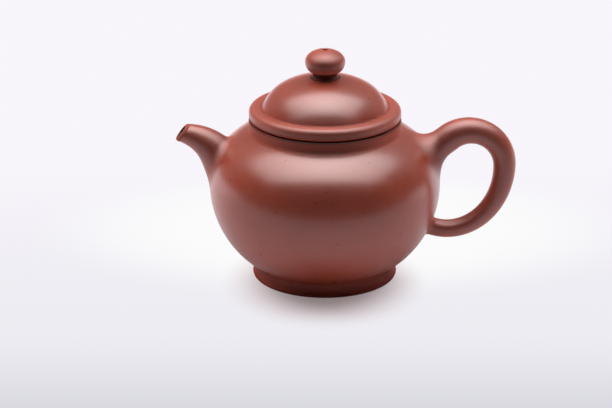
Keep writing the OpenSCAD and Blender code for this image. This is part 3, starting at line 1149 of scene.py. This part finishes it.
@dataclass
class Handle(LutedLimb):
    """Ear-shaped handle, thickest at the shoulder."""

    # Furthest, highest and lowest point of the middle line, from the belly and the neck's rim
    reach: float = 27.85
    far_rise: float = 7.5
    top_out: float = 12.6
    top_drop: float = 6.0
    low_out: float = 3.4
    low_drop: float = 21.9
    # Slope off the shoulder, and the bend that makes it level
    slope: float = 38.0
    bend_r: float = 14.5
    # Radius at the shoulder and at the tail, and how soon it tapers
    root_r: float = 6.1
    tail_r: float = 3.9
    taper: float = 1.4
    # Skirts at the shoulder and at the tail
    spread: float = 9.0
    rise: float = 8.0
    tail_spread: float = 3.5
    tail_rise: float = 3.0
    # A station inside the pot at the shoulder, and the angle past the lowest point of one at the tail
    buried: float = -22.0
    tail_sweep: float = 45.0
    # Faces along the loop between its skirts
    loop_steps: int = 140

    def __post_init__(self) -> None:
        """Works out the ovals of the loop."""
        belly = self.belly
        self.far = Vector((belly.belly_r + self.reach, 0, belly.belly_z + self.far_rise))
        self.top = Vector((belly.belly_r + self.top_out, 0, belly.rim_z - self.top_drop))
        self.low = Vector((belly.belly_r + self.low_out, 0, belly.belly_z - self.low_drop))
        self.over = (self.far.x - self.top.x, self.top.z - self.far.z)
        self.under = (self.far.x - self.low.x, self.far.z - self.low.z)
        self.bend_l = self.bend_r * math.radians(self.slope)
        # A quarter of an oval is about as long as a quarter circle of its mean radius
        self.over_l = sum(self.over) * math.pi / 4
        self.under_l = sum(self.under) * math.pi / 4
        self.length = self.bend_l + self.over_l + self.under_l
        self.tail_s = self.length + self.under_l * self.tail_sweep / 90

    @staticmethod
    def _oval(middle: Vector, size: Point2, angle: float) -> Vector:
        """Point of an upright oval at an angle from its top."""
        a = math.radians(angle)
        return middle + Vector((size[0] * math.sin(a), 0, size[1] * math.cos(a)))

    def line(self, s: float) -> Vector:
        """Middle line: off the shoulder, level at the top, round the loop and in at the tail.

        Args:
            s: Station along it, which is 0 where the first bend starts.

        Returns:
            The point there.
        """
        if s < self.bend_l:
            angle = self.slope * (max(0.0, s) / self.bend_l - 1)
            bent = self._oval(self.top - Vector((0, 0, self.bend_r)), (self.bend_r, self.bend_r), angle)
            a = math.radians(self.slope)
            return bent + min(0.0, s) * Vector((math.cos(a), 0, math.sin(a)))
        if s < self.bend_l + self.over_l:
            angle = 90 * (s - self.bend_l) / self.over_l
            return self._oval(Vector((self.top.x, 0, self.far.z)), self.over, angle)
        angle = 90 + 90 * (s - self.bend_l - self.over_l) / self.under_l
        return self._oval(Vector((self.low.x, 0, self.far.z)), self.under, angle)

    def radius(self, s: float) -> float:
        """Radius, which tapers from the shoulder to the tail."""
        share = 1 - max(0.0, min(1.0, s / self.length))
        return mix(self.tail_r, self.root_r, share**self.taper)

    def side(self, angle: float) -> list[Vector]:
        """One side of the handle.

        Args:
            angle: Angle round the handle, in radians.

        Returns:
            Its points, from the shoulder round to the tail.
        """
        tail_free = self.length - self.under_l
        root = self.skirt(angle, self.buried, self.bend_l, self.rise, self.spread)
        tail = self.skirt(angle, self.tail_s, tail_free, -self.tail_rise, self.tail_spread)
        start = self.root_station(angle, self.buried, self.bend_l) + self.rise
        end = self.root_station(angle, self.tail_s, tail_free) - self.tail_rise
        steps = range(1, self.loop_steps)
        loop = [self.surface(angle, mix(start, end, i / self.loop_steps)) for i in steps]
        return [*root, *loop, *reversed(tail)]

    def build(self) -> None:
        """Builds the handle as one closed skin, capped under the wall's surface."""
        sides = [self.side(angle) for angle in self.angles()]
        skin = Skin()
        skirt = self.skirt_dull()
        dull = [*skirt, *[self.limb_dull] * (self.loop_steps - 1), *reversed(skirt)]
        rings = [skin.ring([side[i] for side in sides], dull[i]) for i in range(len(dull))]
        for ring in (rings[0], rings[-1]):
            middle = sum((skin.points[i] for i in ring), Vector()) / len(ring)
            skin.bridge(skin.ring([middle]), ring, Finish.LUTED)
        skin.loft(rings, [Finish.BURNISHED] * len(rings))
        Piece("handle", Body.POT, Slot.POT).place(skin.mesh("handle"))


@dataclass
class Lid:
    """Lid with its flange, dome and bead knob."""

    # How far the dome's oval stays inside its foot, and the thickness of dome and flange
    dome_cove: float = 0.5
    dome_t: float = 2.8
    flange_t: float = 2.4
    # Rounding of the flange's edges and of the rim's upper and lower edge
    edge_round: float = 0.6
    top_round: float = 2.5
    low_round: float = 1.3
    # Flank of the dome: height, pull, and how far it runs out onto the rim
    flank_h: float = 6.5
    flank_bend: float = 0.39
    flank_spread: float = 1.0
    # Crease between rim and dome, and the share of the flank that it takes
    crease: float = 0.6
    crease_share: float = 0.08
    # Stem of the knob, with the cove at its foot
    stem_r: float = 5.3
    stem_h: float = 2.6
    stem_foot_r: float = 6.6
    stem_cove: float = 1.1
    # Bead: where its lower oval leaves the stem, how softly, and its height below the widest level
    neck_angle: float = -66.0
    neck_soft: float = 1.0
    lower_h: float = 4.6
    # Steam vent, and the rounding of its edge
    vent_r: float = 1.1
    vent_soft: float = 0.35

    def __post_init__(self) -> None:
        """Reads the levels and radii that the frame has."""
        self.rim_z = Extent.of("lid_rim").low.z
        self.edge_z = Extent.of("lid_rim").high.z
        self.dome_z = Extent.of("lid_dome").low.z
        self.lid_r = Extent.of("lid_rim").high.x
        self.foot_r = Extent.of("lid_dome").high.x
        self.dome_r = self.foot_r - self.dome_cove
        self.knob_seat_z = Extent.of("knob").low.z
        self.knob_r = Extent.of("knob").high.x
        self.flange_r = Extent.of("lid_flange").high.x
        self.flange_z = Extent.of("lid_flange").low.z
        self.flange_in_r = self.flange_r - self.flange_t
        self.top_r = self.lid_r - self.top_round
        dome_rise = self.knob_seat_z - self.dome_z
        self.dome_h = dome_rise / math.sqrt(1 - (self.stem_foot_r / self.dome_r) ** 2)
        self.dome_foot = (self.foot_r + self.flank_spread, self.dome_z)
        crease_r = self.dome_foot[0] + self.crease
        rim_share = (crease_r - self.foot_r) / (self.top_r - self.foot_r)
        self.crease_foot = (crease_r, mix(self.dome_z, self.edge_z, rim_share))

    def build(self) -> None:
        """Builds the four turned pieces."""
        self.rim()
        self.flange()
        self.dome()
        self.knob()

    def rim(self) -> None:
        """Ring with a rounded edge, which sits on the neck and carries the dome."""
        low = self.low_round
        top = self.top_round
        section = Section((self.flange_in_r, self.dome_z))
        section.lines(Finish.SCRAPED, (self.flange_in_r, self.rim_z))
        section.lines(Finish.LUTED, (self.flange_r, self.rim_z))
        section.lines(Finish.TOOLED, (self.lid_r - low, self.rim_z))
        section.run(oval((self.lid_r - low, self.rim_z + low), (low, low), -90, 0), Finish.TOOLED)
        section.lines(Finish.HANDLED, (self.lid_r, self.edge_z - top))
        section.run(oval((self.top_r, self.edge_z - top), (top, top), 0, 90), Finish.HANDLED)
        section.lines(Finish.HANDLED, self.crease_foot)
        section.lines(Finish.LUTED, (self.foot_r, self.dome_z), (self.flange_in_r, self.dome_z))
        Piece("lid_rim", Body.LID, Slot.LID).turn(section)

    def flange(self) -> None:
        """Ring under the lid that locates it in the mouth."""
        edge = self.edge_round
        low = self.flange_z
        section = Section((self.flange_in_r, self.rim_z))
        section.lines(Finish.SCRAPED, (self.flange_in_r, low + edge))
        section.run(oval((self.flange_in_r + edge, low + edge), (edge, edge), 180, 270), Finish.SCRAPED)
        section.lines(Finish.SCRAPED, (self.flange_r - edge, low))
        section.run(oval((self.flange_r - edge, low + edge), (edge, edge), -90, 0), Finish.SCRAPED)
        section.lines(Finish.SCRAPED, (self.flange_r, self.rim_z))
        section.lines(Finish.LUTED, (self.flange_in_r, self.rim_z))
        Piece("lid_flange", Body.LID, Slot.LID).turn(section)

    def dome(self) -> None:
        """Domed top of the lid, hollow underneath, which meets the rim in a soft crease."""
        in_r = self.dome_r - self.dome_t
        in_h = self.dome_h - self.dome_t
        vent_a = math.degrees(math.acos(self.vent_r / in_r))
        flank_a = math.degrees(math.asin(self.flank_h / self.dome_h))
        top_a = math.degrees(math.acos(self.stem_foot_r / self.dome_r))
        inside = oval((0, self.dome_z), (in_r, in_h), vent_a, 0)
        outside = oval((0, self.dome_z), (self.dome_r, self.dome_h), flank_a, top_a)
        tangent = straight(outside(0), (self.dome_r / math.cos(math.radians(flank_a)), self.dome_z))
        flank = bow(self.dome_foot, tangent(self.flank_bend), outside(0))
        section = Section((in_r, self.dome_z))
        section.lines(Finish.LUTED, (self.foot_r, self.dome_z), self.crease_foot)
        section.run(bow(self.crease_foot, self.dome_foot, flank(self.crease_share)), Finish.TOOLED)
        section.run(lambda u: flank(mix(self.crease_share, 1.0, u)), steps=2 * RUN_STEPS)
        section.run(outside, steps=4 * RUN_STEPS)
        section.lines(Finish.LUTED, (self.vent_r, self.knob_seat_z))
        section.lines(Finish.SCRAPED, inside(0))
        section.run(inside, Finish.SCRAPED, 2 * RUN_STEPS)
        Piece("lid_dome", Body.LID, Slot.LID).turn(section)

    def knob(self) -> None:
        """Flattened bead on a short stem, with the steam vent down its middle."""
        seat_z = self.knob_seat_z
        widest_z = seat_z + self.stem_h + self.lower_h
        hole_r = self.vent_r + self.vent_soft
        upper_rise = Extent.of("knob").high.z - widest_z
        upper_h = upper_rise / math.sqrt(1 - (self.vent_r / self.knob_r) ** 2)
        hole_a = math.degrees(math.acos(hole_r / self.knob_r))
        size = (self.knob_r - self.stem_r, self.lower_h)
        lower = oval((self.stem_r, widest_z), size, self.neck_angle, 0)
        upper = oval((0, widest_z), (self.knob_r, upper_h), 0, hole_a)
        hole_z = upper(1)[1]
        low_r, low_z = lower(0)
        slope = -size[1] / size[0] / math.tan(math.radians(self.neck_angle))
        neck = (self.stem_r, low_z - slope * (low_r - self.stem_r))
        foot_top = (self.stem_r, seat_z + self.stem_cove)
        vent_top = (self.vent_r, hole_z - self.vent_soft)
        section = Section((self.vent_r, seat_z))
        section.lines(Finish.LUTED, (self.stem_foot_r, seat_z))
        # The stem and the cove at its foot are darkened with painted shade under the bead
        section.run(bow(section.end, (self.stem_r, seat_z), foot_top), Finish.STAINED)
        section.lines(Finish.STAINED, (self.stem_r, neck[1] - self.neck_soft))
        section.run(bow(section.end, neck, lower(0)), Finish.STAINED)
        section.run(lower, Finish.HANDLED, 2 * RUN_STEPS)
        section.run(upper, Finish.HANDLED, 2 * RUN_STEPS)
        section.run(bow(section.end, (self.vent_r, hole_z), vent_top), Finish.HANDLED)
        section.lines(Finish.SCRAPED, (self.vent_r, seat_z))
        Piece("knob", Body.LID, Slot.LID).turn(section)


@dataclass
class Studio:
    """Pale floor, soft light and camera.

    The floor mixes a lit surface, which takes the shadow, with a plain glow, which is the background. The
    glow has one level for the camera, one for what the clay mirrors and one for the light from below.
    """

    # Camera
    focal_px: float = 2500.0
    image_w: float = 612.0
    pitch: float = 20.7
    distance: float = 1090.0
    aim: Point3 = (-8.18, 0.0, 31.405)
    # Colours of the floor, and how far back each is reached
    floor_r: float = 30000.0
    front: Colour = (0.60, 0.60, 0.66)
    front_y: float = -200.0
    mirrored_front: Colour = (0.03, 0.03, 0.035)
    mirrored_front_y: float = -300.0
    middle: Colour = (0.850, 0.840, 0.890)
    middle_y: float = -60.0
    back: Colour = (0.935, 0.910, 0.965)
    back_y: float = 160.0
    # Whiter pool of light round the pot
    pool: Colour = (0.965, 0.962, 0.965)
    pool_at: Point3 = (5.0, 52.0, 0.0)
    pool_narrow: float = 0.6
    pool_full_r: float = 42.0
    pool_r: float = 90.0
    # Shadow that the camera sees under the pot
    lit_share: float = 0.72
    shadow_fill: float = 0.27
    shadow_at: Point3 = (0.0, -12.0, 0.0)
    shadow_narrow: float = 1.2
    shadow_r: float = 20.0
    shadow_fade_r: float = 56.0
    shadow_tint: Colour = (0.86, 0.72, 0.73)
    # Glow that the clay mirrors, and glow that lights it from below, both outside the dark under the pot
    dark_r: float = 36.0
    mirror_front: float = 0.65
    mirror_back: float = 1.55
    mirror_r: float = 84.0
    bounce_level: float = 1.75
    bounce_r: float = 110.0
    # Room round the floor, with a far wall that a view toward the back meets
    room: Colour = (0.03, 0.03, 0.03)
    far_wall: Colour = (0.25, 0.25, 0.26)
    wall_start: float = 0.1
    wall_full: float = 0.7
    # Softbox for the sheen, and lamps for the colour
    sheen_at: Point3 = (-110.0, -40.0, 1000.0)
    sheen_size: Point2 = (2300.0, 1100.0)
    sheen_spread: float = 116.0
    sheen_power: float = 18.5
    lamp_at: Point3 = (0.0, 240.0, 1000.0)
    lamp_size: Point2 = (1400.0, 500.0)
    lamp_power: float = 10.2
    side_at: Point3 = (800.0, 450.0, 750.0)
    side_size: Point2 = (700.0, 700.0)
    side_power: float = 10.0

    def build(self) -> None:
        """Builds the floor, the light, the world and the camera."""
        self.floor()
        self.lights()
        self.world()
        self.camera()
        bpy.context.scene.view_settings.view_transform = "Standard"

    def floor(self) -> None:
        """Pale floor that takes the shadow and turns into the plain background further out."""
        r = self.floor_r * MM
        mesh = bpy.data.meshes.new("floor")
        mesh.from_pydata([(-r, -r, 0), (r, -r, 0), (r, r, 0), (-r, r, 0)], [], [(0, 1, 2, 3)])
        mesh.materials.append(self.floor_material())
        made = bpy.data.objects.new("floor", mesh)
        bpy.context.scene.collection.objects.link(made)

    def floor_material(self) -> bpy.types.Material:
        """Mixes the lit floor with the plain glow.

        Returns:
            The floor's material.
        """
        made = bpy.data.materials.new("pale_floor")
        made.use_nodes = True
        graph = Graph(made.node_tree)
        place = graph.node("ShaderNodeTexCoord").output("Object")
        depth = graph.node("ShaderNodeSeparateXYZ", None, {"Vector": place}, "Y")
        path = graph.node("ShaderNodeLightPath")
        direct = path.output("Is Camera Ray")
        mirrored = path.output("Is Glossy Ray")
        bounced = 1 - direct - mirrored
        colour = self._floor_colour(graph, place, depth, direct)
        sockets = {"Base Color": graph.scaled(colour, self.lit_share), "Roughness": 1.0}
        lit = graph.node("ShaderNodeBsdfPrincipled", None, {**sockets, "Specular IOR Level": 0.0})
        under = graph.distance(graph.stretched(place, (self.shadow_narrow, 1, 1)), self.shadow_at)
        clear = under.rises(self.shadow_r * MM, self.shadow_fade_r * MM)
        mirror = mix(self.mirror_front, self.mirror_back, self._behind(depth))
        level = direct + mirrored * mirror + self.bounce_level * bounced
        shown = graph.mix(direct * (1 - clear), graph.scaled(colour, level), self.shadow_tint)
        glow = graph.node("ShaderNodeEmission", None, {"Color": shown, "Strength": 1.0})
        away = graph.distance(place, (0.0, 0.0, 0.0))
        share = direct * mix(self.shadow_fill, 1.0, clear)
        share = share + mirrored * away.rises(self.dark_r * MM, self.mirror_r * MM)
        share = share + bounced * away.rises(self.dark_r * MM, self.bounce_r * MM)
        surface = graph.node("ShaderNodeMixShader", None, {0: share, 1: lit, 2: glow})
        graph.node("ShaderNodeOutputMaterial", None, {"Surface": surface})
        return made

    def _behind(self, depth: Value) -> Value:
        """Share of the way from the floor's middle to its back."""
        return depth.rises(self.middle_y * MM, self.back_y * MM)

    def _floor_colour(self, graph: Graph, place: Value, depth: Value, direct: Value) -> Value:
        """Colour of the floor from front to back, which the clay mirrors darker in front.

        Args:
            graph: The floor's nodes.
            place: Position in metres.
            depth: How far back it is, in metres.
            direct: 1 where the camera itself sees the floor, 0 elsewhere.

        Returns:
            The colour.
        """
        near = graph.mix(depth.rises(self.front_y * MM, self.middle_y * MM), self.front, self.middle)
        nearness = depth.rises(self.mirrored_front_y * MM, self.middle_y * MM)
        near_mirrored = graph.mix(nearness, self.mirrored_front, self.middle)
        colour = graph.mix(self._behind(depth), graph.mix(direct, near_mirrored, near), self.back)
        beside = graph.distance(graph.stretched(place, (self.pool_narrow, 1, 1)), self.pool_at)
        pool = beside.rises(self.pool_r * MM, self.pool_full_r * MM)
        return graph.mix(direct * pool, colour, self.pool)

    def lights(self) -> None:
        """Overhead softbox for the sheen, and softer light from above and both sides for the colour."""
        sheen = self.light("sheen", self.sheen_at, self.sheen_size, self.sheen_power)
        sheen.data.spread = math.radians(self.sheen_spread)
        sheen.visible_diffuse = False
        self.light("lamp", self.lamp_at, self.lamp_size, self.lamp_power).visible_glossy = False
        for name, hand in (("left_lamp", -1), ("right_lamp", 1)):
            at = (hand * self.side_at[0], *self.side_at[1:])
            side = self.light(name, at, self.side_size, self.side_power)
            side.visible_glossy = False
            side.rotation_mode = "QUATERNION"
            side.rotation_quaternion = (Vector(self.aim) - Vector(at)).to_track_quat("-Z", "Y")

    @staticmethod
    def light(name: str, at: Point3, size: Point2, power: float) -> bpy.types.Object:
        """Soft light that points straight down.

        Args:
            name: Name of the light.
            at: Place of its middle.
            size: Its width and its depth.
            power: Its power in watts.

        Returns:
            The light's object.
        """
        light = bpy.data.lights.new(name, "AREA")
        light.shape = "RECTANGLE"
        light.size = size[0] * MM
        light.size_y = size[1] * MM
        light.energy = power
        made = bpy.data.objects.new(name, light)
        made.location = Vector(at) * MM
        bpy.context.scene.collection.objects.link(made)
        return made

    def world(self) -> None:
        """Plain background for the camera, and for the rest a dim room with a pale far wall."""
        world = bpy.data.worlds.new("studio")
        world.use_nodes = True
        graph = Graph(world.node_tree)
        toward = graph.node("ShaderNodeTexCoord").output("Generated")
        depth = graph.node("ShaderNodeSeparateXYZ", None, {"Vector": toward}, "Y")
        room, wall, plain = [
            graph.node("ShaderNodeBackground", None, {"Color": _opaque(colour)})
            for colour in (self.room, self.far_wall, self.back)
        ]
        facing = depth.rises(self.wall_start, self.wall_full)
        around = graph.node("ShaderNodeMixShader", None, {0: facing, 1: room, 2: wall})
        seen = graph.node("ShaderNodeLightPath").output("Is Camera Ray")
        surface = graph.node("ShaderNodeMixShader", None, {0: seen, 1: around, 2: plain})
        graph.node("ShaderNodeOutputWorld", None, {"Surface": surface})
        bpy.context.scene.world = world

    def camera(self) -> None:
        """Camera at the viewing angle."""
        data = bpy.data.cameras.new("camera")
        data.lens = self.focal_px / self.image_w * data.sensor_width
        made = bpy.data.objects.new("camera", data)
        pitch = math.radians(self.pitch)
        back = Vector((0, -math.cos(pitch), math.sin(pitch)))
        made.location = (Vector(self.aim) + self.distance * back) * MM
        made.rotation_mode = "QUATERNION"
        made.rotation_quaternion = (-back).to_track_quat("-Z", "Y")
        bpy.context.scene.collection.objects.link(made)
        bpy.context.scene.camera = made


def dress_strainer() -> None:
    """Gives the drilled ball strainer, which keeps its own shape, the scraped clay of the inside."""
    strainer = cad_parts["strainer"]
    for slot in strainer.material_slots:
        slot.material = clay(Finish.SCRAPED)
    LOG.info("strainer: keeps its %d faces", len(strainer.data.polygons))


def main() -> None:
    """Builds the teapot, then the studio."""
    logging.basicConfig(level=logging.INFO, format="%(name)s: %(message)s")
    belly = BellyShape()
    spout = Spout(belly)
    PotBody(belly, spout.pour_hole()).build()
    spout.build()
    dress_strainer()
    Handle(belly).build()
    Lid().build()
    Studio().build()


if __name__ == "__main__":
    main()
